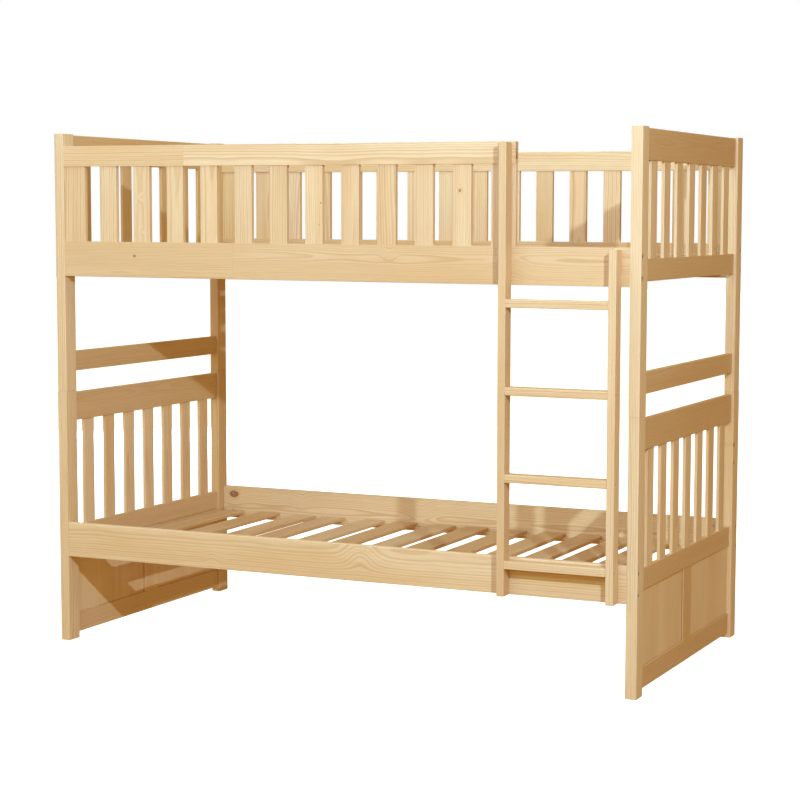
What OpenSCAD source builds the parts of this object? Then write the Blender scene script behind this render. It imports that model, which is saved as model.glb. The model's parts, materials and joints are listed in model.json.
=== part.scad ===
// Pine twin-over-twin bunk bed with a bolted-on ladder.
// Two complete beds stand one on the other: four steel pins join their posts.
// X runs along the bed, -Y is the ladder side, Z is up from the floor.

/* [Overall] */
// Length over the posts
bed_length = 1990; // [1960:1:2060]
// Width over the posts, without the ladder
bed_width = 1016; // [1000:1:1100]
// Height to the top of the posts
bed_height = 1650; // [1640:1:1700]
// Height of the joint between the two beds
joint_height = 821; // [818:1:826]

/* [Posts] */
// Post size along the bed
post_x = 34; // [30:1:40]
// Post size across the bed
post_y = 58; // [50:1:70]
// Gap left between the two halves of a post
joint_gap = 0.3; // [0.2:0.1:1]
// Diameter of the steel joining pins
pin_d = 12; // [10:1:12]
// Length of the steel joining pins
pin_length = 88; // [60:2:88]

/* [Side rails] */
// Thickness of the side rails
rail_t = 22; // [20:1:25]
// Height of the side rails
rail_h = 112; // [105:1:112]
// Height of the underside of the lower side rails
lower_rail_z = 279; // [270:1:290]
// Height of the underside of the upper side rails
upper_rail_z = 1194; // [1185:1:1195]

/* [End frames] */
// Thickness of the end rails
end_t = 16; // [14:1:20]
// Height of the wide end rails at the top
wide_rail_h = 92; // [85:1:92]
// Height of the narrow end rails
narrow_rail_h = 65; // [55:1:65]
// Number of slats in each end frame
end_slats = 7; // [5:1:7]
// Width of an end slat
end_slat_w = 56; // [35:1:60]
// Thickness of an end slat
end_slat_t = 10; // [8:1:14]
// Spacing of the end slats
end_slat_pitch = 121.5; // [110:0.5:125]
// Width of the centre stile of the panelled part
stile_w = 82; // [60:1:90]
// Thickness of the flat panels
panel_t = 6; // [4:1:8]

/* [Guard rails] */
// Height of the guard's top rail
guard_rail_h = 65; // [55:1:70]
// Height of the top of the guard
guard_top = 1610; // [1600:1:1620]
// Length of the front guard
front_guard_length = 1568; // [1560:1:1572]
// Width of the end stiles of a guard
guard_stile_w = 78; // [60:1:80]
// Width of a guard slat
guard_slat_w = 60; // [45:1:65]
// Thickness of the guard slats and stiles
guard_slat_t = 16; // [12:1:18]
// Slats in the front guard
front_guard_slats_n = 11; // [8:1:11]
// Spacing of the front guard's slats
front_guard_pitch = 123; // [115:0.5:123]
// Slats in the back guard
back_guard_slats_n = 14; // [10:1:14]

/* [Bed slats] */
// Slats under each mattress
bed_slats = 14; // [10:1:14]
// Width of a bed slat
bed_slat_w = 82; // [60:1:90]
// Thickness of a bed slat
bed_slat_t = 12; // [10:1:14]
// Width of the ledger strip that carries the slats
ledger_w = 20; // [18:1:25]
// Height of the ledger strip
ledger_h = 14; // [12:1:16]

/* [Ladder] */
// Width of a ladder stile
ladder_stile_w = 24; // [20:1:26]
// Depth of the ladder from front to back
ladder_depth = 44; // [35:1:50]
// Distance between the ladder stiles
ladder_clear = 316; // [300:1:320]
// Number of rungs
rungs = 4; // [3:1:4]
// Spacing of the rungs
rung_pitch = 256; // [230:1:256]
// Height of a rung
rung_h = 24; // [20:1:30]
// Height of the top of the lowest rung
lowest_rung = 385; // [380:1:390]

/* [Hidden] */
$fn = 48;

// Wood colours
pine = [0.86, 0.70, 0.50];
pine_shade = [0.80, 0.62, 0.42];
steel = [0.45, 0.45, 0.46];
beech = [0.78, 0.60, 0.42];

// Heights of the end rails
wide_top_gap = 3;
lower_top_gap = 8;
upper_top_z = bed_height - wide_top_gap - wide_rail_h;
upper_mid_z = 1208;
upper_low_z = 883;
lower_top_z = joint_height - lower_top_gap - wide_rail_h;
lower_mid_z = 309;
lower_bottom_z = 17;

// Tenons, mortises and grooves
tenon_t = 10;
tenon_shoulder = 10;
tenon_l = 22;
slat_mortise = 10;
groove = 8;
guard_mortise = 15;

// Bolts, barrel nuts and dowels in the side rail joints
bolt_r = 3;
bolt_clear = 3.3;
bolt_spread = 32;
bolt_head_r = 7;
bolt_head_t = 4;
counterbore_r = 7.5;
counterbore_t = 5;
bolt_reach = 48;
bore_reach = 50;
socket_r = 2.9;
socket_t = 2.5;
nut_r = 5;
nut_l = 17;
nut_inset = 40;
dowel_r = 4;
dowel_in_post = 14;
dowel_in_rail = 16;
rail_mid = rail_t / 2;

// Joining pins
pin_y = 24;
pin_clear = 0.08;
pin_end_clear = 3;

// Screws
screw_r = 1.75;
screw_clear = 2;
screw_head_r = 4;
screw_head_t = 2.2;
slat_screw_l = 24;
ledger_screw_l = 36;
ledger_screws_n = 6;
ledger_screw_inset = 90;

// The lower front rail stands back so that the ladder clears it when the upper bed lifts off
rail_setback = 0.5;

// Bed slats are laid by hand, so their gaps are a little uneven
first_slat_x = 40;
last_slat_gap = 63;
slat_shift = [0, 8, 20, 0, 20, 8, 20, 6, 12, 17, 11, 1, -13, 0];
slat_pitch = (bed_length - first_slat_x - last_slat_gap - bed_slat_w) / (bed_slats - 1);
slat_clear = 1;

// Guard layout
guard_slat_first = 171;
guard_dowel_low = 38;
guard_dowel_high = 12;
guard_bottom = upper_rail_z + rail_h;
guard_slat_y = (rail_t - guard_slat_t) / 2;
back_guard_length = bed_length - 2 * post_x;
back_guard_pitch = (back_guard_length - 2 * guard_stile_w + guard_slat_w) / (back_guard_slats_n + 1);

// Ladder
ladder_inset = 35;
ladder_left_drop = 3;
ladder_right_drop = 6;
ladder_left_x = post_x + front_guard_length - ladder_inset;
ladder_right_x = ladder_left_x + ladder_stile_w + ladder_clear;
ladder_left_top = guard_top - ladder_left_drop;
ladder_right_top = upper_rail_z + rail_h - ladder_right_drop;
rung_screw_inset = 10;
rung_dowel_inset = 30;
rung_screw_r = 3.5;
rung_screw_l = 50;
rung_head_r = 5;
rung_head_t = 3;
ladder_screw_l = 50;
ladder_screw_spread = 17;
ladder_head_r = 6.5;
ladder_head_t = 3.5;

// ---- Placing ----

// The bed is drawn from its front left corner on the floor, then centred under its whole outline
module flip_x(on) {
    if (on) mirror([1, 0, 0]) children();
    else children();
}

module flip_y(on) {
    if (on) mirror([0, 1, 0]) children();
    else children();
}

module corner(right = false, back = false) {
    translate([0, ladder_depth / 2, 0])
        flip_x(right)
            flip_y(back)
                translate([-bed_length / 2, -bed_width / 2, 0])
                    children();
}

module block(from, size) {
    translate(from) cube(size);
}

// A cylinder along +X or +Y
module rod_x(from, r, l) {
    translate(from) rotate([0, 90, 0]) cylinder(r = r, h = l);
}

module rod_y(from, r, l) {
    translate(from) rotate([-90, 0, 0]) cylinder(r = r, h = l);
}

// ---- Posts ----

// Bolt and dowel holes for one side rail, from the outer face of a post
module post_rail_holes(rail_z) {
    mid = rail_z + rail_h / 2;
    for (side = [-1, 1]) {
        rod_x([-1, rail_mid, mid + side * bolt_spread], bolt_clear, post_x + 2);
        rod_x([-1, rail_mid, mid + side * bolt_spread], counterbore_r, counterbore_t + 1);
    }
    rod_x([post_x - dowel_in_post, rail_mid, mid], dowel_r, dowel_in_post + 1);
}

// The mortise for one end rail's tenon
module post_mortise(z, h) {
    block(
        [(post_x - tenon_t) / 2, post_y - tenon_l, z + tenon_shoulder],
        [tenon_t, tenon_l + 1, h - 2 * tenon_shoulder]
    );
}

module lower_post() {
    color(pine)
    difference() {
        block([0, 0, 0], [post_x, post_y, joint_height]);
        post_rail_holes(lower_rail_z);
        post_mortise(lower_top_z, wide_rail_h);
        post_mortise(lower_mid_z, narrow_rail_h);
        post_mortise(lower_bottom_z, narrow_rail_h);
        block(
            [(post_x - panel_t) / 2, post_y - groove, lower_bottom_z + narrow_rail_h - groove],
            [panel_t, groove + 1, lower_mid_z - lower_bottom_z - narrow_rail_h + 2 * groove]
        );
        translate([post_x / 2, pin_y, joint_height - pin_length / 2])
            cylinder(r = pin_d / 2, h = pin_length);
    }
}

module upper_post(guard_holes) {
    bottom = joint_height + joint_gap;
    color(pine)
    difference() {
        block([0, 0, bottom], [post_x, post_y, bed_height - bottom]);
        post_rail_holes(upper_rail_z);
        post_mortise(upper_top_z, wide_rail_h);
        post_mortise(upper_mid_z, narrow_rail_h);
        post_mortise(upper_low_z, narrow_rail_h);
        translate([post_x / 2, pin_y, bottom - 1])
            cylinder(r = pin_d / 2 + pin_clear, h = pin_length / 2 + pin_end_clear + 1);
        if (guard_holes)
            for (z = guard_dowel_heights())
                rod_x([post_x - dowel_in_post, rail_mid, z], dowel_r, dowel_in_post + 1);
    }
}

function guard_dowel_heights() = [guard_top - guard_dowel_low, guard_top - guard_dowel_high];

// ---- End frames ----

// An end rail with stub tenons, running from post to post across the bed
module end_rail(z, h, slats_above = false, slats_below = false, groove_above = false, groove_below = false) {
    x = (post_x - end_t) / 2;
    color(pine)
    difference() {
        union() {
            block([x, post_y, z], [end_t, bed_width - 2 * post_y, h]);
            block(
                [(post_x - tenon_t) / 2, post_y - tenon_l, z + tenon_shoulder],
                [tenon_t, bed_width - 2 * (post_y - tenon_l), h - 2 * tenon_shoulder]
            );
        }
        if (slats_above) end_slat_row(z + h - slat_mortise, slat_mortise + 1);
        if (slats_below) end_slat_row(z - 1, slat_mortise + 1);
        if (groove_above) panel_groove(z + h - groove, groove + 1);
        if (groove_below) panel_groove(z - 1, groove + 1);
    }
}

module panel_groove(z, h) {
    block([(post_x - panel_t) / 2, post_y - 1, z], [panel_t, bed_width - 2 * post_y + 2, h]);
}

// The row of upright slats, centred across the bed
module end_slat_row(z, h) {
    for (i = [0 : end_slats - 1])
        block(
            [
                (post_x - end_slat_t) / 2,
                bed_width / 2 + (i - (end_slats - 1) / 2) * end_slat_pitch - end_slat_w / 2,
                z
            ],
            [end_slat_t, end_slat_w, h]
        );
}

module end_slats_between(low_z, high_z) {
    color(pine_shade)
    end_slat_row(low_z - slat_mortise, high_z - low_z + 2 * slat_mortise);
}

// The centre stile, with panel grooves down both edges and a tongue at each end
module centre_stile() {
    low = lower_bottom_z + narrow_rail_h;
    high = lower_mid_z;
    y = (bed_width - stile_w) / 2;
    color(pine)
    difference() {
        union() {
            block([(post_x - end_t) / 2, y, low], [end_t, stile_w, high - low]);
            block(
                [(post_x - panel_t) / 2, y + groove, low - groove],
                [panel_t, stile_w - 2 * groove, high - low + 2 * groove]
            );
        }
        for (edge = [y - 1, y + stile_w - groove])
            block([(post_x - panel_t) / 2, edge, low - 1], [panel_t, groove + 1, high - low + 2]);
    }
}

// The two thin panels, let into grooves on all four sides
module panels() {
    low = lower_bottom_z + narrow_rail_h - groove;
    high = lower_mid_z + groove;
    width = (bed_width - stile_w) / 2 - post_y + 2 * groove;
    color(pine_shade)
    for (y = [post_y - groove, bed_width - post_y + groove - width])
        block([(post_x - panel_t) / 2, y, low], [panel_t, width, high - low]);
}

// ---- Side rails ----

// Bores in both ends of a side rail for its bolts, barrel nuts and dowels
module side_rail_holes(rail_z) {
    mid = rail_z + rail_h / 2;
    for (end = [0, 1])
        translate([end * bed_length, 0, 0])
            flip_x(end == 1) {
                for (side = [-1, 1]) {
                    rod_x([post_x - 1, rail_mid, mid + side * bolt_spread], bolt_clear, bore_reach + 1);
                    rod_y([post_x + nut_inset, rail_t - nut_l, mid + side * bolt_spread], nut_r, nut_l + 1);
                }
                rod_x([post_x - 1, rail_mid, mid], dowel_r, dowel_in_rail + 1);
            }
}

// Where a ledger screw is, along the rail
function ledger_screw_x(i) =
    post_x + ledger_screw_inset
    + i * (bed_length - 2 * (post_x + ledger_screw_inset)) / (ledger_screws_n - 1);

module ledger_screw_holes(rail_z, r) {
    y = rail_t + ledger_w - ledger_screw_l;
    for (i = [0 : ledger_screws_n - 1])
        rod_y([ledger_screw_x(i), y, rail_z + ledger_h / 2], r, ledger_screw_l);
}

module side_rail(rail_z) {
    difference() {
        block([post_x, 0, rail_z], [bed_length - 2 * post_x, rail_t, rail_h]);
        side_rail_holes(rail_z);
        ledger_screw_holes(rail_z, screw_r);
    }
}

// The lower front rail stands back by a hair's breadth from the ladder
module lower_side_rail(setback) {
    color(pine)
    difference() {
        side_rail(lower_rail_z);
        if (setback > 0)
            block([0, -1, lower_rail_z - 1], [bed_length, 1 + setback, rail_h + 2]);
    }
}

module upper_front_side_rail() {
    color(pine)
    difference() {
        side_rail(upper_rail_z);
        front_guard_uprights(guard_bottom - guard_mortise, guard_mortise + 1);
        ladder_screw_bores();
    }
}

module upper_back_side_rail() {
    color(pine)
    difference() {
        side_rail(upper_rail_z);
        back_guard_uprights(guard_bottom - guard_mortise, guard_mortise + 1);
    }
}

// Ledger strips that carry the bed slats, one on each side rail
module ledger(rail_z) {
    color(pine)
    difference() {
        block([post_x, rail_t, rail_z], [bed_length - 2 * post_x, ledger_w, ledger_h]);
        ledger_screw_holes(rail_z, screw_clear);
        ledger_screw_heads(rail_z);
        slat_screw_row(rail_z, screw_r);
    }
}

module ledger_screw_heads(rail_z) {
    for (i = [0 : ledger_screws_n - 1])
        translate([ledger_screw_x(i), rail_t + ledger_w - screw_head_t, rail_z + ledger_h / 2])
            rotate([-90, 0, 0])
                cylinder(r1 = screw_clear, r2 = screw_head_r, h = screw_head_t);
}

module ledger_screws_on(rail_z) {
    color(steel)
    intersection() {
        union() {
            ledger_screw_holes(rail_z, screw_r);
            ledger_screw_heads(rail_z);
        }
        block([0, 0, 0], [bed_length, rail_t + ledger_w, bed_height]);
    }
}

// ---- Bed slats ----

function bed_slat_x(i) = first_slat_x + i * slat_pitch + slat_shift[i];

// Upright holes for the slat screws along one ledger
module slat_screw_row(rail_z, r) {
    top = rail_z + ledger_h + bed_slat_t;
    for (i = [0 : bed_slats - 1])
        translate([bed_slat_x(i) + bed_slat_w / 2, rail_t + ledger_w / 2, top - slat_screw_l])
            cylinder(r = r, h = slat_screw_l);
}

module slat_screw_heads(rail_z) {
    top = rail_z + ledger_h + bed_slat_t;
    for (i = [0 : bed_slats - 1])
        translate([bed_slat_x(i) + bed_slat_w / 2, rail_t + ledger_w / 2, top - screw_head_t])
            cylinder(r1 = screw_clear, r2 = screw_head_r, h = screw_head_t);
}

// Runs its children along the front ledger and, mirrored, along the back one
module both_sides() {
    for (back = [false, true])
        corner(back = back) children();
}

module slats_on(rail_z) {
    color(pine)
    difference() {
        corner()
            for (i = [0 : bed_slats - 1])
                block(
                    [bed_slat_x(i), rail_t + slat_clear, rail_z + ledger_h],
                    [bed_slat_w, bed_width - 2 * (rail_t + slat_clear), bed_slat_t]
                );
        both_sides() {
            slat_screw_row(rail_z, screw_clear);
            slat_screw_heads(rail_z);
        }
    }
}

module slat_screws_on(rail_z) {
    color(steel)
    both_sides() {
        slat_screw_row(rail_z, screw_r);
        slat_screw_heads(rail_z);
    }
}

// ---- Bolted joints ----

// Runs its children at the four corners of the bed
module four_corners() {
    for (right = [false, true])
        for (back = [false, true])
            corner(right, back) children();
}

module bolts(rail_z) {
    mid = rail_z + rail_h / 2;
    color(steel)
    four_corners()
        for (side = [-1, 1])
            difference() {
                union() {
                    rod_x([1, rail_mid, mid + side * bolt_spread], bolt_head_r, bolt_head_t);
                    rod_x([1, rail_mid, mid + side * bolt_spread], bolt_r, post_x + bolt_reach - 1);
                }
                translate([0, rail_mid, mid + side * bolt_spread])
                    rotate([0, 90, 0])
                        cylinder(r = socket_r, h = 1 + socket_t, $fn = 6);
            }
}

module barrel_nuts(rail_z) {
    mid = rail_z + rail_h / 2;
    color(steel)
    four_corners()
        for (side = [-1, 1])
            difference() {
                rod_y([post_x + nut_inset, rail_t - nut_l, mid + side * bolt_spread], nut_r, nut_l);
                rod_x([post_x, rail_mid, mid + side * bolt_spread], bolt_r, 2 * nut_inset);
            }
}

module side_rail_dowels(rail_z) {
    color(beech)
    four_corners()
        rod_x(
            [post_x - dowel_in_post, rail_mid, rail_z + rail_h / 2],
            dowel_r,
            dowel_in_post + dowel_in_rail
        );
}

module guard_dowels() {
    color(beech)
    for (place = [[false, false], [false, true], [true, true]])
        corner(place[0], place[1])
            for (z = guard_dowel_heights())
                rod_x([post_x - dowel_in_post, rail_mid, z], dowel_r, dowel_in_post + dowel_in_rail);
}

module pins() {
    color(steel)
    four_corners()
        translate([post_x / 2, pin_y, joint_height - pin_length / 2])
            cylinder(r = pin_d / 2, h = pin_length);
}

// ---- Guards ----

// One upright board of a guard, standing in the middle of the rail's thickness
module guard_board(x, w, z, h) {
    block([x, guard_slat_y, z], [w, guard_slat_t, h]);
}

module front_slat_boards(z, h) {
    for (i = [0 : front_guard_slats_n - 1])
        guard_board(guard_slat_first + i * front_guard_pitch, guard_slat_w, z, h);
}

module front_stile_boards(z, h) {
    for (x = [post_x, post_x + front_guard_length - guard_stile_w])
        guard_board(x, guard_stile_w, z, h);
}

module front_guard_uprights(z, h) {
    front_slat_boards(z, h);
    front_stile_boards(z, h);
}

module back_slat_boards(z, h) {
    for (i = [1 : back_guard_slats_n])
        guard_board(
            post_x + guard_stile_w - guard_slat_w + i * back_guard_pitch,
            guard_slat_w,
            z,
            h
        );
}

module back_stile_boards(z, h) {
    for (x = [post_x, bed_length - post_x - guard_stile_w])
        guard_board(x, guard_stile_w, z, h);
}

module back_guard_uprights(z, h) {
    back_slat_boards(z, h);
    back_stile_boards(z, h);
}

// The bare top rail of a guard, with dowel bores in the ends that meet a post
module guard_rail_bar(length, doweled_ends) {
    z = guard_top - guard_rail_h;
    difference() {
        block([post_x, 0, z], [length, rail_t, guard_rail_h]);
        for (height = guard_dowel_heights()) {
            rod_x([post_x - 1, rail_mid, height], dowel_r, dowel_in_rail + 1);
            if (doweled_ends == 2)
                rod_x([post_x + length - dowel_in_rail, rail_mid, height], dowel_r, dowel_in_rail + 1);
        }
    }
}

upright_low = guard_bottom - guard_mortise;
upright_length = guard_top - guard_rail_h - guard_bottom + 2 * guard_mortise;

module front_guard_top_rail() {
    color(pine)
    difference() {
        guard_rail_bar(front_guard_length, 1);
        front_guard_uprights(guard_top - guard_rail_h - 1, guard_mortise + 1);
        ladder_screw_bores();
    }
}

module back_guard_top_rail() {
    color(pine)
    difference() {
        guard_rail_bar(back_guard_length, 2);
        back_guard_uprights(guard_top - guard_rail_h - 1, guard_mortise + 1);
    }
}

// ---- Ladder ----

function rung_z(i) = lowest_rung - rung_h + i * rung_pitch;

// Screws that hold the ladder: [x, z] of each, driven from inside the bed
function ladder_screw_places() = [
    for (x = [ladder_left_x, ladder_right_x])
        for (side = [-1, 1])
            [x + ladder_stile_w / 2, upper_rail_z + rail_h / 2 + side * ladder_screw_spread],
    [ladder_left_x + ladder_stile_w / 2, guard_top - guard_rail_h / 2]
];

// Each screw runs from a counterbore inside the rail into the stile
module ladder_screw_bores() {
    for (place = ladder_screw_places()) {
        rod_y([place[0], rail_t - ladder_head_t - ladder_screw_l, place[1]], bolt_r, ladder_screw_l + 1);
        rod_y([place[0], rail_t - ladder_head_t, place[1]], ladder_head_r, ladder_head_t + 1);
    }
}

module ladder_screw_set() {
    tip_y = rail_t - ladder_head_t - ladder_screw_l;
    color(steel)
    corner()
        for (place = ladder_screw_places())
            difference() {
                union() {
                    rod_y([place[0], tip_y, place[1]], bolt_r, ladder_screw_l + 1);
                    rod_y([place[0], rail_t - ladder_head_t, place[1]], ladder_head_r, ladder_head_t);
                }
                translate([place[0], rail_t - socket_t, place[1]])
                    rotate([-90, 0, 0])
                        cylinder(r = socket_r, h = socket_t + 1, $fn = 6);
            }
}

// Screw and dowel holes for the rungs, bored from the outer face of a stile
module rung_screw_bodies(outer_x, inward) {
    for (i = [0 : rungs - 1])
        translate([outer_x, rung_screw_inset - ladder_depth, rung_z(i) + rung_h / 2])
            rotate([0, inward * 90, 0]) {
                cylinder(r = rung_screw_r, h = rung_screw_l);
                cylinder(r = rung_head_r, h = rung_head_t + 1);
            }
}

module rung_dowel_bodies(outer_x, inward) {
    for (i = [0 : rungs - 1])
        translate([outer_x, rung_dowel_inset - ladder_depth, rung_z(i) + rung_h / 2])
            rotate([0, inward * 90, 0])
                translate([0, 0, ladder_stile_w - dowel_in_post])
                    cylinder(r = dowel_r, h = dowel_in_post + dowel_in_rail);
}

module both_stiles_screws() {
    rung_screw_bodies(ladder_left_x, 1);
    rung_screw_bodies(ladder_right_x + ladder_stile_w, -1);
}

module both_stiles_dowels() {
    rung_dowel_bodies(ladder_left_x, 1);
    rung_dowel_bodies(ladder_right_x + ladder_stile_w, -1);
}

module ladder_stile(x, top) {
    color(pine)
    corner()
        difference() {
            block([x, -ladder_depth, lower_rail_z], [ladder_stile_w, ladder_depth, top - lower_rail_z]);
            both_stiles_screws();
            both_stiles_dowels();
            ladder_screw_bores();
        }
}

module ladder_rung_set() {
    color(pine_shade)
    corner()
        difference() {
            for (i = [0 : rungs - 1])
                block(
                    [ladder_left_x + ladder_stile_w, -ladder_depth, rung_z(i)],
                    [ladder_clear, ladder_depth, rung_h]
                );
            both_stiles_screws();
            both_stiles_dowels();
        }
}

// The rung screws' heads stop a millimetre below the face of the stile
module rung_screw_set() {
    sunk = 1;
    color(steel)
    corner()
        intersection() {
            both_stiles_screws();
            block(
                [ladder_left_x + sunk, -ladder_depth, 0],
                [ladder_clear + 2 * (ladder_stile_w - sunk), ladder_depth, bed_height]
            );
        }
}

// ---- Nodes ----

corner() lower_post();  // lower_post_front_left
corner(right = true) lower_post();  // lower_post_front_right
corner(back = true) lower_post();  // lower_post_back_left
corner(right = true, back = true) lower_post();  // lower_post_back_right

corner() end_rail(lower_top_z, wide_rail_h, slats_below = true);  // lower_left_top_rail
corner() end_slats_between(lower_mid_z + narrow_rail_h, lower_top_z);  // lower_left_slats
corner() end_rail(lower_mid_z, narrow_rail_h, slats_above = true, groove_below = true);  // lower_left_mid_rail
corner() panels();  // lower_left_panels
corner() centre_stile();  // lower_left_stile
corner() end_rail(lower_bottom_z, narrow_rail_h, groove_above = true);  // lower_left_bottom_rail

corner(right = true) end_rail(lower_top_z, wide_rail_h, slats_below = true);  // lower_right_top_rail
corner(right = true) end_slats_between(lower_mid_z + narrow_rail_h, lower_top_z);  // lower_right_slats
corner(right = true) end_rail(lower_mid_z, narrow_rail_h, slats_above = true, groove_below = true);  // lower_right_mid_rail
corner(right = true) panels();  // lower_right_panels
corner(right = true) centre_stile();  // lower_right_stile
corner(right = true) end_rail(lower_bottom_z, narrow_rail_h, groove_above = true);  // lower_right_bottom_rail

corner() lower_side_rail(rail_setback);  // lower_front_rail
corner(back = true) lower_side_rail(0);  // lower_back_rail
both_sides() ledger(lower_rail_z);  // lower_ledgers
slats_on(lower_rail_z);  // lower_bed_slats
slat_screws_on(lower_rail_z);  // lower_slat_screws
both_sides() ledger_screws_on(lower_rail_z);  // lower_ledger_screws
bolts(lower_rail_z);  // lower_bolts
barrel_nuts(lower_rail_z);  // lower_barrel_nuts
side_rail_dowels(lower_rail_z);  // lower_dowels
pins();  // joining_pins

corner() upper_post(true);  // upper_post_front_left
corner(right = true) upper_post(false);  // upper_post_front_right
corner(back = true) upper_post(true);  // upper_post_back_left
corner(right = true, back = true) upper_post(true);  // upper_post_back_right

corner() end_rail(upper_top_z, wide_rail_h, slats_below = true);  // upper_left_top_rail
corner() end_slats_between(upper_mid_z + narrow_rail_h, upper_top_z);  // upper_left_slats
corner() end_rail(upper_mid_z, narrow_rail_h, slats_above = true);  // upper_left_mid_rail
corner() end_rail(upper_low_z, narrow_rail_h);  // upper_left_low_rail

corner(right = true) end_rail(upper_top_z, wide_rail_h, slats_below = true);  // upper_right_top_rail
corner(right = true) end_slats_between(upper_mid_z + narrow_rail_h, upper_top_z);  // upper_right_slats
corner(right = true) end_rail(upper_mid_z, narrow_rail_h, slats_above = true);  // upper_right_mid_rail
corner(right = true) end_rail(upper_low_z, narrow_rail_h);  // upper_right_low_rail

corner() upper_front_side_rail();  // upper_front_rail
corner(back = true) upper_back_side_rail();  // upper_back_rail
both_sides() ledger(upper_rail_z);  // upper_ledgers
slats_on(upper_rail_z);  // upper_bed_slats
slat_screws_on(upper_rail_z);  // upper_slat_screws
both_sides() ledger_screws_on(upper_rail_z);  // upper_ledger_screws
bolts(upper_rail_z);  // upper_bolts
barrel_nuts(upper_rail_z);  // upper_barrel_nuts
union() {  // upper_dowels
    side_rail_dowels(upper_rail_z);
    guard_dowels();
}

corner() front_guard_top_rail();  // front_guard_rail
corner() color(pine_shade) front_slat_boards(upright_low, upright_length);  // front_guard_slats
corner() color(pine) front_stile_boards(upright_low, upright_length);  // front_guard_stiles
corner(back = true) back_guard_top_rail();  // back_guard_rail
corner(back = true) color(pine_shade) back_slat_boards(upright_low, upright_length);  // back_guard_slats
corner(back = true) color(pine) back_stile_boards(upright_low, upright_length);  // back_guard_stiles

ladder_stile(ladder_left_x, ladder_left_top);  // ladder_left_stile
ladder_stile(ladder_right_x, ladder_right_top);  // ladder_right_stile
ladder_rung_set();  // ladder_rungs
rung_screw_set();  // rung_screws
color(beech) corner() both_stiles_dowels();  // rung_dowels
ladder_screw_set();  // ladder_screws
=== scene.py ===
# Looks of the pine bunk bed: rounded boards in procedural lacquered pine, zinc-plated fasteners, and a
# plain white studio. Lengths are in metres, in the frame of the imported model.
import json
import math
import random

import bmesh
import bpy
from mathutils import Matrix, Vector


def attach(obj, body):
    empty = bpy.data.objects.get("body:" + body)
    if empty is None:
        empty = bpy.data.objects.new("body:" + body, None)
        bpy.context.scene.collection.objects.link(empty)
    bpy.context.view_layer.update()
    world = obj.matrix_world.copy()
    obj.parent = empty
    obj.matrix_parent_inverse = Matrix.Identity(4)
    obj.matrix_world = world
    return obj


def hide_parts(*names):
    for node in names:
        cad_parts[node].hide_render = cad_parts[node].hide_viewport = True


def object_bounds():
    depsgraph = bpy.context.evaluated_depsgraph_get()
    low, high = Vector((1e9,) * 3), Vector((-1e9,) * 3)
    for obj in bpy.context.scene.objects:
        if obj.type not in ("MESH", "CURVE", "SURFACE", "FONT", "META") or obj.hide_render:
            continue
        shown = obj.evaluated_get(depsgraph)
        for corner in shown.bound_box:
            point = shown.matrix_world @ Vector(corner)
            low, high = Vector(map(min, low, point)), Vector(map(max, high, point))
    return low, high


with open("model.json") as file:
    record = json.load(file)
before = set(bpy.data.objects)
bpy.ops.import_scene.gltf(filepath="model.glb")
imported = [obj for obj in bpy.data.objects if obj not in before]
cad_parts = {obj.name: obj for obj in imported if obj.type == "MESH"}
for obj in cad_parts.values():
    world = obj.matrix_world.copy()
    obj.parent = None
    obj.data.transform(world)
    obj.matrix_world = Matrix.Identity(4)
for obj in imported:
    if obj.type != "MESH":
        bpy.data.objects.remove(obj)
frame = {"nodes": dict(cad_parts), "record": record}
cad_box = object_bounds()
RECORD = frame["record"]
SLOT_OF = {part["node"]: part["material_slot"] for part in RECORD["subparts"]}
BODY_OF = {node: body for body, nodes in RECORD["behaviour"]["bodies"].items() for node in nodes}
LOW, HIGH = cad_box


# ---- Node helpers ----

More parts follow.
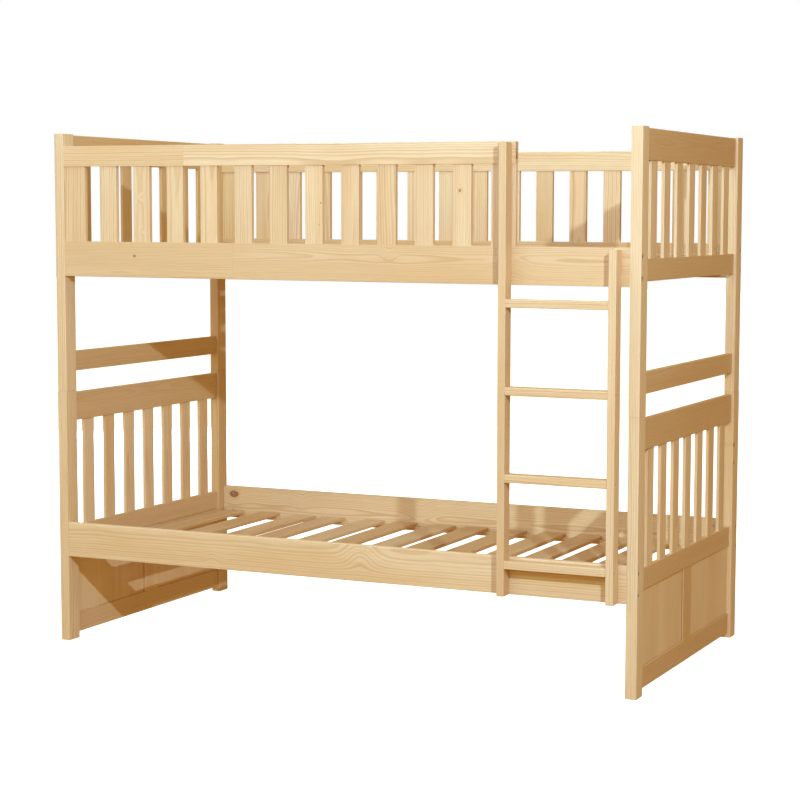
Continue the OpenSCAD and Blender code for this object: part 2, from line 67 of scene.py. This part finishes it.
class Tree:
    """A material's node tree, with one short call for each kind of node. Each call returns a socket."""

    def __init__(self, name):
        self.material = bpy.data.materials.new(name)
        self.material.use_nodes = True
        self.nodes = self.material.node_tree.nodes
        self.links = self.material.node_tree.links
        self.shader = self.nodes["Principled BSDF"]

    def put(self, socket, value):
        if isinstance(value, bpy.types.NodeSocket):
            self.links.new(value, socket)
        elif isinstance(value, (int, float)) or len(value) == len(socket.default_value):
            socket.default_value = value
        else:
            socket.default_value = (*value, 1.0)

    def math(self, operation, *values):
        node = self.nodes.new("ShaderNodeMath")
        node.operation = operation
        for socket, value in zip(node.inputs, values):
            self.put(socket, value)
        return node.outputs[0]

    def vector(self, operation, *values):
        node = self.nodes.new("ShaderNodeVectorMath")
        node.operation = operation
        for socket, value in zip(node.inputs, values):
            self.put(socket, value)
        return node.outputs["Vector"]

    def scaled(self, vector, factor):
        node = self.nodes.new("ShaderNodeVectorMath")
        node.operation = "SCALE"
        self.put(node.inputs[0], vector)
        self.put(node.inputs["Scale"], factor)
        return node.outputs["Vector"]

    def attribute(self, name, output="Vector"):
        node = self.nodes.new("ShaderNodeAttribute")
        node.attribute_name = name
        return node.outputs[output]

    def split(self, vector):
        node = self.nodes.new("ShaderNodeSeparateXYZ")
        self.put(node.inputs[0], vector)
        return node.outputs[:3]

    def join(self, x, y, z):
        node = self.nodes.new("ShaderNodeCombineXYZ")
        for socket, value in zip(node.inputs, (x, y, z)):
            self.put(socket, value)
        return node.outputs[0]

    def noise(self, vector, scale=1.0, detail=2.0, roughness=0.5):
        node = self.nodes.new("ShaderNodeTexNoise")
        self.put(node.inputs["Vector"], vector)
        node.inputs["Scale"].default_value = scale
        node.inputs["Detail"].default_value = detail
        node.inputs["Roughness"].default_value = roughness
        return node.outputs[0]

    def white_noise(self, value):
        node = self.nodes.new("ShaderNodeTexWhiteNoise")
        node.noise_dimensions = "1D"
        self.put(node.inputs["W"], value)
        return node.outputs["Value"]

    def ramp(self, value, low, high, to_low=0.0, to_high=1.0):
        node = self.nodes.new("ShaderNodeMapRange")
        node.interpolation_type = "SMOOTHSTEP"
        for socket, number in zip(node.inputs[:5], (value, low, high, to_low, to_high)):
            self.put(socket, number)
        return node.outputs[0]

    def mix(self, share, first, second, blend="MIX"):
        node = self.nodes.new("ShaderNodeMix")
        node.data_type = "RGBA"
        node.blend_type = blend
        self.put(node.inputs["Factor"], share)
        self.put(node.inputs[6], first)
        self.put(node.inputs[7], second)
        return node.outputs[2]

    def bump(self, height, distance):
        node = self.nodes.new("ShaderNodeBump")
        node.inputs["Distance"].default_value = distance
        self.put(node.inputs["Height"], height)
        self.links.new(node.outputs[0], self.shader.inputs["Normal"])


# ---- Pine ----

EARLY_WOOD = (0.780, 0.530, 0.275)
LATE_WOOD = (0.500, 0.270, 0.095)
CREAM = (0.850, 0.640, 0.385)
HONEY = (0.620, 0.375, 0.155)
ROSE = (0.720, 0.440, 0.230)
KNOT_HEART = (0.330, 0.150, 0.055)
KNOT_RIM = (0.170, 0.070, 0.025)
KNOT_HALO = (0.620, 0.330, 0.130)
END_GRAIN_TINT = (0.82, 0.76, 0.68)
KNOTS_PER_BOARD = 3
# Knots are longer along the board than across it.
KNOT_STRETCH = 0.72
# How far apart the boards lie in the noise, so that no two are alike
SEED_SPREAD = 90.0
# Narrowest growth ring, and how much wider the widest is
RING_WIDTH, RING_WIDTH_RANGE = 0.0034, 0.0028
# Where the pith lies: range across the board's face, and least depth and range of depth below its middle
PITH_ACROSS_RANGE = 0.16
PITH_DEPTH, PITH_DEPTH_RANGE = 0.012, 0.05
PITH_TILT_RANGE = 0.016


def knot_distance(t, along, across, knot):
    """Distance from a knot's centre, measured so that the knot is longer along the board."""
    centre_along, centre_across, signed = t.split(knot)
    radius = t.math("ABSOLUTE", signed)
    stretched = t.math("MULTIPLY", t.math("SUBTRACT", along, centre_along), KNOT_STRETCH)
    beside = t.math("SUBTRACT", across, centre_across)
    distance = t.math("SQRT", t.math("ADD", t.math("POWER", stretched, 2), t.math("POWER", beside, 2)))
    return t.math("DIVIDE", distance, t.math("MAXIMUM", radius, 0.0001)), radius, signed


def growth_rings(t, grain, place, seed):
    """The share of late wood, in rings round a pith that wanders along the board, and the board's knots."""
    along, across, through = t.split(grain)
    seed_x, seed_y, seed_z = t.split(seed)
    sway = t.noise(t.vector("MULTIPLY", place, (1.1, 0.6, 0.6)), detail=1.0)
    dip = t.noise(t.vector("MULTIPLY", place, (1.9, 0.9, 0.9)), scale=1.3, detail=1.0)
    pith_across = t.math("MULTIPLY_ADD", seed_x, PITH_ACROSS_RANGE, -PITH_ACROSS_RANGE / 2)
    pith_depth = t.math("MULTIPLY_ADD", seed_y, PITH_DEPTH_RANGE, PITH_DEPTH)
    tilt = t.math("MULTIPLY_ADD", seed_z, PITH_TILT_RANGE, -PITH_TILT_RANGE / 2)
    ring_y = t.math("ADD", t.math("SUBTRACT", across, pith_across), t.math("MULTIPLY", sway, 0.022))
    ring_z = t.math("ADD", t.math("ADD", through, pith_depth), t.math("MULTIPLY", dip, 0.016))
    ring_z = t.math("ADD", ring_z, t.math("MULTIPLY", along, tilt))
    radius = t.math("SQRT", t.math("ADD", t.math("POWER", ring_y, 2), t.math("POWER", ring_z, 2)))
    wobble = t.noise(t.vector("MULTIPLY", place, (7.0, 45.0, 45.0)), detail=2.0)
    radius = t.math("ADD", radius, t.math("MULTIPLY", wobble, 0.0022))

    # Rings bend round the knots.
    knots = []
    for i in range(KNOTS_PER_BOARD):
        reach, size, signed = knot_distance(t, along, across, t.attribute(f"knot_{i}"))
        reach = t.math("ADD", reach, t.math("MULTIPLY_ADD", wobble, 0.7, -0.35))
        swell = t.math("EXPONENT", t.math("MULTIPLY", t.math("POWER", reach, 2), -0.16))
        radius = t.math("ADD", radius, t.math("MULTIPLY", t.math("MULTIPLY", swell, size), 1.5))
        knots.append((reach, signed))

    # Late wood darkens slowly through a ring and ends at a sharp edge. Some rings are stronger than others.
    ring_width = t.math("MULTIPLY_ADD", seed_y, RING_WIDTH_RANGE, RING_WIDTH)
    phase = t.math("DIVIDE", radius, ring_width)
    ring = t.math("FRACT", phase)
    late = t.math("MULTIPLY", t.ramp(ring, 0.30, 0.86), t.ramp(ring, 0.90, 1.0, 1.0, 0.0))
    strength = t.math("MULTIPLY_ADD", t.white_noise(t.math("FLOOR", phase)), 0.7, 0.3)
    return t.math("MULTIPLY", late, strength), knots


def clear_wood_colour(t, place, late, fibre, tone, contrast):
    """Broad drifts of hue, then the rings, fine fibres and short resin ducts."""
    streak = t.noise(t.vector("MULTIPLY", place, (1.6, 38.0, 38.0)), detail=2.0)
    drift = t.noise(t.vector("MULTIPLY", place, (1.5, 9.0, 9.0)), detail=2.0)
    duct = t.noise(t.vector("MULTIPLY", place, (75.0, 1500.0, 1500.0)), detail=1.0)
    colour = t.mix(t.ramp(drift, 0.30, 0.72), CREAM, EARLY_WOOD)
    colour = t.mix(t.ramp(streak, 0.54, 0.80, 0.0, 0.55), colour, ROSE)
    # A board's tone turns it honey above zero and cream below; for some boards the tone is painted shade or
    # painted light.
    colour = t.mix(t.math("MULTIPLY", t.ramp(tone, 0.0, 1.0), 0.75), colour, HONEY)
    colour = t.mix(t.math("MULTIPLY", t.ramp(tone, 0.0, -1.0), 0.6), colour, CREAM)
    colour = t.mix(t.math("MULTIPLY", late, contrast), colour, LATE_WOOD)
    colour = t.mix(t.ramp(fibre, 0.35, 0.75, 0.0, 0.22), colour, LATE_WOOD)
    return t.mix(t.ramp(duct, 0.70, 0.78, 0.0, 0.30), colour, KNOT_HALO)


def with_knot(t, colour, reach, signed):
    """A knot's halo, dark rim and cracked heart over the clear wood, unless the knot is only a swirl."""
    real = t.math("GREATER_THAN", signed, 0.0002)
    halo = t.math("MULTIPLY", t.ramp(reach, 2.1, 0.9), real)
    colour = t.mix(t.math("MULTIPLY", halo, 0.42), colour, KNOT_HALO)
    heart = t.math("MULTIPLY", t.ramp(reach, 1.05, 0.93), real)
    rim = t.ramp(reach, 0.55, 0.95)
    crack = t.ramp(t.math("FRACT", t.math("MULTIPLY", reach, 3.5)), 0.5, 0.9, 0.0, 0.35)
    inside = t.mix(t.math("MAXIMUM", rim, crack), KNOT_HEART, KNOT_RIM)
    return t.mix(t.math("MULTIPLY", heart, 0.85), colour, inside)


def make_pine(name):
    """Lacquered pine. Each board's mesh carries where a point lies along, across and through the board."""
    t = Tree(name)
    grain = t.attribute("grain")
    tone, joint, contrast = t.split(t.attribute("look"))
    along = t.split(grain)[0]
    end = t.attribute("end_grain", "Fac")
    arris = t.attribute("arris", "Fac")

    # Beyond a finger joint the board is another piece of wood.
    stave = t.math("GREATER_THAN", along, joint)
    shift = t.join(t.math("MULTIPLY", stave, 0.37), 0, stave)
    seed = t.vector("FRACTION", t.vector("ADD", t.attribute("seed"), shift))
    place = t.vector("ADD", grain, t.scaled(seed, SEED_SPREAD))

    late, knots = growth_rings(t, grain, place, seed)
    fibre = t.noise(t.vector("MULTIPLY", place, (14.0, 620.0, 620.0)), detail=3.0, roughness=0.6)
    colour = clear_wood_colour(t, place, late, fibre, tone, contrast)
    for reach, signed in knots:
        colour = with_knot(t, colour, reach, signed)
    colour = t.mix(end, colour, END_GRAIN_TINT, "MULTIPLY")
    joint_line = t.ramp(t.math("ABSOLUTE", t.math("SUBTRACT", along, joint)), 0.0009, 0.0003, 0.0, 0.5)
    colour = t.mix(joint_line, colour, KNOT_HALO)
    colour = t.mix(t.math("MULTIPLY", arris, 0.16), colour, CREAM)
    t.put(t.shader.inputs["Base Color"], colour)

    # The lacquer is a little glossier on late wood and dull on end grain, and the fibres show through it.
    roughness = t.math("MULTIPLY_ADD", late, -0.07, 0.50)
    roughness = t.math("ADD", roughness, t.math("MULTIPLY", t.math("SUBTRACT", fibre, 0.5), 0.16))
    roughness = t.math("ADD", roughness, t.math("MULTIPLY", end, 0.22))
    t.put(t.shader.inputs["Roughness"], roughness)
    t.shader.inputs["Specular IOR Level"].default_value = 0.38
    t.shader.inputs["Coat Weight"].default_value = 0.10
    t.shader.inputs["Coat Roughness"].default_value = 0.28
    height = t.math("ADD", t.math("MULTIPLY", late, 0.6), t.math("MULTIPLY", fibre, 0.8))
    t.bump(height, 0.00012)
    return t.material


# ---- Steel and beech ----

def make_zinc(name):
    """Zinc-plated steel: bright, faintly mottled, with a finely grained surface."""
    t = Tree(name)
    where = t.nodes.new("ShaderNodeTexCoord").outputs["Object"]
    mottle = t.noise(where, scale=700.0, detail=3.0)
    colour = t.mix(mottle, (0.44, 0.44, 0.43), (0.66, 0.65, 0.60))
    t.put(t.shader.inputs["Base Color"], colour)
    t.shader.inputs["Metallic"].default_value = 1.0
    t.put(t.shader.inputs["Roughness"], t.ramp(mottle, 0.2, 0.8, 0.24, 0.42))
    t.bump(t.noise(where, scale=2600.0, detail=2.0), 0.00003)
    return t.material


def make_beech(name):
    """Bare beech dowel: pinkish brown with short dark flecks."""
    t = Tree(name)
    where = t.nodes.new("ShaderNodeTexCoord").outputs["Object"]
    fleck = t.noise(t.vector("MULTIPLY", where, (120.0, 1400.0, 1400.0)), detail=2.0)
    drift = t.noise(where, scale=45.0)
    colour = t.mix(drift, (0.62, 0.38, 0.21), (0.50, 0.29, 0.15))
    colour = t.mix(t.ramp(fleck, 0.60, 0.75, 0.0, 0.6), colour, (0.30, 0.15, 0.07))
    t.put(t.shader.inputs["Base Color"], colour)
    t.put(t.shader.inputs["Roughness"], t.ramp(drift, 0.2, 0.8, 0.55, 0.7))
    t.bump(fleck, 0.00005)
    return t.material


# ---- Boards ----

# Radius of a board's long edges, by a word of its name, and of the edges round its ends
LONG_EDGE = {"post": 0.0032, "rail": 0.0020, "slats": 0.0016, "stile": 0.0016, "rungs": 0.0026,
             "ladder": 0.0024, "ledgers": 0.0010, "panels": 0.0004}
END_EDGE = 0.0009
# Boards whose grain doesn't run along their longest side
GRAIN_AXIS = {"lower_left_panels": 2, "lower_right_panels": 2}


def edge_radius(node):
    """The ladder's stiles go by the ladder's radius, so that word is looked for first."""
    for word in ("ladder", "rungs", "post", "panels", "ledgers", "slats", "stile", "rail"):
        if word in node:
            return LONG_EDGE[word]
    return LONG_EDGE["rail"]


def islands(bm):
    """The separate boards of a mesh, as lists of vertices, ordered along X, then Y, then Z."""
    unseen = set(bm.verts)
    found = []
    for start in bm.verts:
        if start not in unseen:
            continue
        unseen.discard(start)
        stack, group = [start], []
        while stack:
            vert = stack.pop()
            group.append(vert)
            for edge in vert.link_edges:
                other = edge.other_vert(vert)
                if other in unseen:
                    unseen.discard(other)
                    stack.append(other)
        found.append(group)
    found.sort(key=lambda group: tuple(round(min(v.co[k] for v in group), 3) for k in range(3)))
    return found


def span(verts):
    low = Vector(min(v.co[k] for v in verts) for k in range(3))
    high = Vector(max(v.co[k] for v in verts) for k in range(3))
    return low, high


def long_edges(verts, axis, slack):
    """The edges that run along a board's corners."""
    low, high = span(verts)
    others = [k for k in range(3) if k != axis]
    wanted = set()
    for vert in verts:
        for edge in vert.link_edges:
            a, b = (v.co for v in edge.verts)
            if abs(a[axis] - b[axis]) < 0.002:
                continue
            sides = [
                k for k in others
                if any(abs(a[k] - end[k]) < slack and abs(b[k] - end[k]) < slack for end in (low, high))
            ]
            if len(sides) == 2:
                wanted.add(edge)
    return wanted


def end_edges(verts, axis, reach):
    """The edges round a board's two ends, but not those of holes in them."""
    low, high = span(verts)
    others = [k for k in range(3) if k != axis]
    wanted = set()
    for vert in verts:
        for edge in vert.link_edges:
            a, b = (v.co for v in edge.verts)
            at_end = any(
                abs(a[axis] - end[axis]) < 1e-5 and abs(b[axis] - end[axis]) < 1e-5 for end in (low, high)
            )
            outside = all(
                any(abs(p[k] - end[k]) < reach for k in others for end in (low, high)) for p in (a, b)
            )
            flat = len(edge.link_faces) == 2 and edge.calc_face_angle(0) > math.radians(40)
            if at_end and outside and flat:
                wanted.add(edge)
    return wanted


def bevel(bm, edges, width, segments):
    if edges and width > 0:
        bmesh.ops.bevel(
            bm, geom=list(edges), offset=width, offset_type="OFFSET", segments=segments, profile=0.5,
            affect="EDGES", clamp_overlap=True, loop_slide=True,
        )


def board_axis(node, verts):
    low, high = span(verts)
    if node in GRAIN_AXIS:
        return GRAIN_AXIS[node]
    return max(range(3), key=lambda k: high[k] - low[k])


def make_boards(node):
    """A node's boards with rounded corners, each marked with its own grain, tone and knots."""
    bm = bmesh.new()
    bm.from_mesh(frame["nodes"][node].data)
    bmesh.ops.remove_doubles(bm, verts=bm.verts, dist=1e-5)
    bmesh.ops.dissolve_limit(
        bm, angle_limit=math.radians(0.4), use_dissolve_boundaries=False, verts=bm.verts, edges=bm.edges
    )
    radius = edge_radius(node)
    chosen = set()
    for group in islands(bm):
        chosen |= long_edges(group, board_axis(node, group), 1e-5)
    bevel(bm, chosen, radius, 3)
    chosen = set()
    for group in islands(bm):
        chosen |= end_edges(group, board_axis(node, group), radius * 1.05)
    bevel(bm, chosen, min(END_EDGE, radius / 2), 2)

    grain = bm.verts.layers.float_vector.new("grain")
    seed = bm.verts.layers.float_vector.new("seed")
    look = bm.verts.layers.float_vector.new("look")
    knot_layers = [bm.verts.layers.float_vector.new(f"knot_{i}") for i in range(KNOTS_PER_BOARD)]
    end = bm.faces.layers.float.new("end_grain")
    arris = bm.faces.layers.float.new("arris")
    bm.normal_update()
    for index, group in enumerate(islands(bm)):
        low, high = span(group)
        size, centre = high - low, (low + high) / 2
        axis = board_axis(node, group)
        wide, thin = sorted((k for k in range(3) if k != axis), key=lambda k: -size[k])
        draw = random.Random(f"{node} {index}")
        own_seed = Vector(draw.random() for _ in range(3))
        own_look, knots = board_look(node, index, size[axis], size[wide], draw)
        for vert in group:
            offset = vert.co - centre
            vert[grain] = Vector((offset[axis], offset[wide], offset[thin]))
            vert[seed] = own_seed
            vert[look] = own_look
            for layer, knot in zip(knot_layers, knots):
                vert[layer] = Vector(knot)
        for face in {f for v in group for f in v.link_faces}:
            face.smooth = True
            facing = [abs(face.normal[k]) for k in range(3)]
            face[end] = 1.0 if facing[axis] > 0.95 else 0.0
            face[arris] = 1.0 if max(facing) < 0.97 else 0.0
    mesh = bpy.data.meshes.new("pine_" + node)
    bm.to_mesh(mesh)
    bm.free()
    mesh.set_sharp_from_angle(angle=math.radians(42))
    piece = bpy.data.objects.new("pine_" + node, mesh)
    bpy.context.scene.collection.objects.link(piece)
    normals = piece.modifiers.new("even_normals", "WEIGHTED_NORMAL")
    normals.keep_sharp = True
    return piece


NO_KNOT = (0.0, 0.0, 0.0)
NO_JOINT = 9.0
KNOT_CHANCE = 0.02
# Range of tone, from -1 for cream to 1 for honey, of the boards whose name holds a word.
# The first word that fits counts.
TONE_WITH_PAINTED_SHADE_AND_LIGHT_OF = {
    # lower_back_rail is painted cream: painted light on that rail, which the lamps leave too dark.
    # upper_left_ boards are painted honey-dark: painted shade on the upper left end's inner faces.
    "upper_left_": (0.8, 1.0), "lower_back_rail": (-1.0, -0.95),
    "lower_front_rail": (-0.2, -0.1), "upper_front_rail": (0.55, 0.65),
    "guard_rail": (0.15, 0.3), "post_back_left": (0.6, 0.75), "post": (-0.9, -0.6), "panels": (-0.4, -0.2),
    "ladder_left": (0.5, 0.6), "ladder": (0.2, 0.4), "rungs": (0.3, 0.5), "guard_slats": (-0.3, 0.5),
    "bed_slats": (0.1, 0.9), "left_slats": (-0.8, 0.2), "slats": (-0.4, 0.3),
    "right_top_rail": (0.9, 1.0), "right": (0.7, 0.85), "rail": (0.45, 0.7),
}
# How strongly the rings show in such boards, where it isn't 1
CONTRAST_OF = {
    "panels": 0.3, "left_": 0.55, "right_": 0.55, "post": 0.7, "front_rail": 0.58, "lower_back": 0.6,
    "guard_rail": 0.75, "guard_slats": 0.85,
}
# Finger joints of the long rails, from the board's centre
JOINTS = {"upper_front_rail": -0.340, "front_guard_rail": -0.337}
# Knots given one by one, from the board's centre: along, across and radius. A radius below zero is a swirl
# in the grain round a knot that lies under the surface.
KNOTS = {
    "upper_front_rail 0": [(-0.697, 0.012, 0.0035), (0.603, -0.014, -0.012), (0.20, 0.030, -0.007)],
    "lower_front_rail 0": [(0.103, 0.022, -0.015), (-0.42, -0.02, -0.008)],
    "lower_back_rail 0": [(-0.918, 0.028, 0.012), (-0.632, 0.026, -0.010), (-0.154, 0.023, -0.014)],
    "front_guard_slats 1": [(0.022, 0.0, -0.0035), (-0.088, 0.004, -0.002)],
    "front_guard_slats 6": [(0.005, 0.024, 0.0018), (-0.060, 0.018, 0.0012)],
    "upper_right_slats 5": [(-0.123, 0.004, 0.0022), (-0.117, -0.006, 0.0018)],
    "lower_post_back_right 0": [(0.235, -0.022, 0.005), (0.175, -0.020, 0.004)],
    "ladder_left_stile 0": [(0.150, 0.004, -0.006)],
}


def board_look(node, index, length, width, draw):
    """Tone, finger joint, ring contrast and knots of one board."""
    low, high = next((TONE_WITH_PAINTED_SHADE_AND_LIGHT_OF[word] for word in TONE_WITH_PAINTED_SHADE_AND_LIGHT_OF if word in node), (-0.3, 0.3))
    tone = draw.uniform(low, high)
    strength = next((CONTRAST_OF[word] for word in CONTRAST_OF if word in node), 1.0)
    contrast = draw.uniform(0.5, 0.85) * strength
    joint = JOINTS.get(node, NO_JOINT)
    knots = list(KNOTS.get(f"{node} {index}", ()))
    if not knots and draw.random() < KNOT_CHANCE:
        knots.append((draw.uniform(-0.42, 0.42) * length, draw.uniform(-0.3, 0.3) * width,
                      draw.uniform(0.04, 0.08) * width))
    knots += [NO_KNOT] * (KNOTS_PER_BOARD - len(knots))
    return Vector((tone, joint, contrast)), knots


# ---- Build ----

PINE = make_pine("pine_lacquered")
ZINC = make_zinc("zinc_plated_steel")
BEECH = make_beech("beech_dowel")
CAD_MATERIALS = {"zinc_steel": ZINC, "beech": BEECH}

for node, slot in SLOT_OF.items():
    if slot in CAD_MATERIALS:
        cad = frame["nodes"][node]
        cad.data.materials.clear()
        cad.data.materials.append(CAD_MATERIALS[slot])
        continue
    piece = make_boards(node)
    piece.data.materials.append(PINE)
    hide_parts(node)
    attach(piece, BODY_OF[node])


# ---- Studio ----

BOUNCE = (1.0, 0.62, 0.22)
BOUNCE_STRENGTH = 0.45
WHITE = (1.0, 1.0, 1.0, 1.0)
FLOOR_HALF = 30.0
WIDTH_OVER_POSTS = 1.016
# Places in the studio are measured from the bed's front left corner on the floor.
CORNER = Vector((LOW.x, HIGH.y - WIDTH_OVER_POSTS, 0.0))
# Each light's place, the point it aims at, its width, height and power, and its colour
LIGHTS = {
    "key": ((3.91, -3.00, 2.68), (1.0, 0.4, 1.1), 0.06, 0.06, 147.0, (0.57, 0.78, 0.94)),
    "front": ((0.6, -4.6, 3.0), (1.0, 0.5, 1.2), 2.6, 1.2, 75.0, (0.44, 0.84, 1.0)),
    "left": ((-1.6, -3.4, 2.2), (0.6, 0.5, 1.0), 1.6, 1.6, 28.0, (1.0, 1.0, 0.25)),
    "upper_left": ((-0.8, -2.6, 3.3), (0.4, 0.3, 1.3), 1.0, 1.0, 42.0, (0.06, 0.16, 1.0)),
    "near": ((2.3, -2.2, 2.6), (1.5, 0.3, 1.5), 0.8, 0.8, 16.0, (0.1, 0.2, 1.0)),
    "top": ((1.0, -0.6, 4.6), (1.0, 0.5, 0.8), 2.6, 1.6, 74.0, (0.70, 1.0, 0.78)),
    "far": ((3.2, -7.5, 2.2), (1.0, 0.5, 0.8), 1.5, 1.5, 38.0, (1.0, 0.7, 0.2)),
    "back": ((-3.5, 5.5, 1.1), (0.8, 0.5, 0.8), 2.6, 1.6, 220.0, (0.64, 0.82, 1.0)),
}
# The light that would glare on the bed slats if it were mirrored in them
UNREFLECTED = "back"


def make_light(name, place, target, width, height, power, colour):
    data = bpy.data.lights.new(name, "AREA")
    data.shape = "RECTANGLE"
    data.size = width
    data.size_y = height
    data.energy = power
    data.color = colour
    light = bpy.data.objects.new(name, data)
    light.location = CORNER + Vector(place)
    aim = CORNER + Vector(target) - light.location
    light.rotation_euler = aim.to_track_quat("-Z", "Y").to_euler()
    light.visible_glossy = name != UNREFLECTED
    bpy.context.scene.collection.objects.link(light)


def make_world():
    """Warm, even light on the bed, and plain white where the camera sees past it."""
    world = bpy.data.worlds.new("studio")
    bpy.context.scene.world = world
    world.use_nodes = True
    nodes, links = world.node_tree.nodes, world.node_tree.links
    soft = nodes["Background"]
    soft.inputs["Color"].default_value = (*BOUNCE, 1.0)
    soft.inputs["Strength"].default_value = BOUNCE_STRENGTH
    white = nodes.new("ShaderNodeBackground")
    white.inputs["Color"].default_value = WHITE
    white.inputs["Strength"].default_value = 1.0
    seen = nodes.new("ShaderNodeLightPath")
    either = nodes.new("ShaderNodeMixShader")
    links.new(seen.outputs["Is Camera Ray"], either.inputs[0])
    links.new(soft.outputs[0], either.inputs[1])
    links.new(white.outputs[0], either.inputs[2])
    links.new(either.outputs[0], nodes["World Output"].inputs["Surface"])


def make_floor():
    """A floor that shines plain white at the camera and throws no light of its own on the bed."""
    mesh = bpy.data.meshes.new("floor")
    corners = [(x * FLOOR_HALF, y * FLOOR_HALF, 0) for x, y in ((-1, -1), (1, -1), (1, 1), (-1, 1))]
    mesh.from_pydata(corners, [], [(0, 1, 2, 3)])
    floor = bpy.data.objects.new("floor", mesh)
    bpy.context.scene.collection.objects.link(floor)
    t = Tree("pale_floor")
    t.shader.inputs["Base Color"].default_value = (0.85, 0.85, 0.85, 1.0)
    t.shader.inputs["Roughness"].default_value = 0.9
    t.shader.inputs["Specular IOR Level"].default_value = 0.0
    t.shader.inputs["Emission Color"].default_value = WHITE
    t.shader.inputs["Emission Strength"].default_value = 1.0
    mesh.materials.append(t.material)
    floor.visible_diffuse = False
    floor.visible_glossy = False


for name, settings in LIGHTS.items():
    make_light(name, *settings)
make_world()
make_floor()

# ---- Camera ----

CAMERA_PLACE = (3.8519, -5.4753, 1.4028)
# Turn from +Y, tilt down from level and turn about the line of sight
YAW, PITCH, ROLL = math.radians(-23.867), math.radians(5.276), math.radians(0.247)
LENS, SENSOR_WIDTH = 91.26, 36.0
SHIFT_X = -0.075


def make_camera():
    data = bpy.data.cameras.new("camera")
    data.lens = LENS
    data.sensor_width = SENSOR_WIDTH
    data.shift_x = SHIFT_X
    forward = Vector((math.sin(YAW) * math.cos(PITCH), math.cos(YAW) * math.cos(PITCH), -math.sin(PITCH)))
    right = Vector((math.cos(YAW), -math.sin(YAW), 0.0))
    up = right.cross(forward)
    level_right = right * math.cos(ROLL) + up * math.sin(ROLL)
    level_up = up * math.cos(ROLL) - right * math.sin(ROLL)
    camera = bpy.data.objects.new("camera", data)
    turn = Matrix((level_right, level_up, -forward)).transposed().to_4x4()
    camera.matrix_world = Matrix.Translation(CORNER + Vector(CAMERA_PLACE)) @ turn
    bpy.context.scene.collection.objects.link(camera)
    bpy.context.scene.camera = camera


make_camera()

view = bpy.context.scene.view_settings
view.view_transform = "Standard"
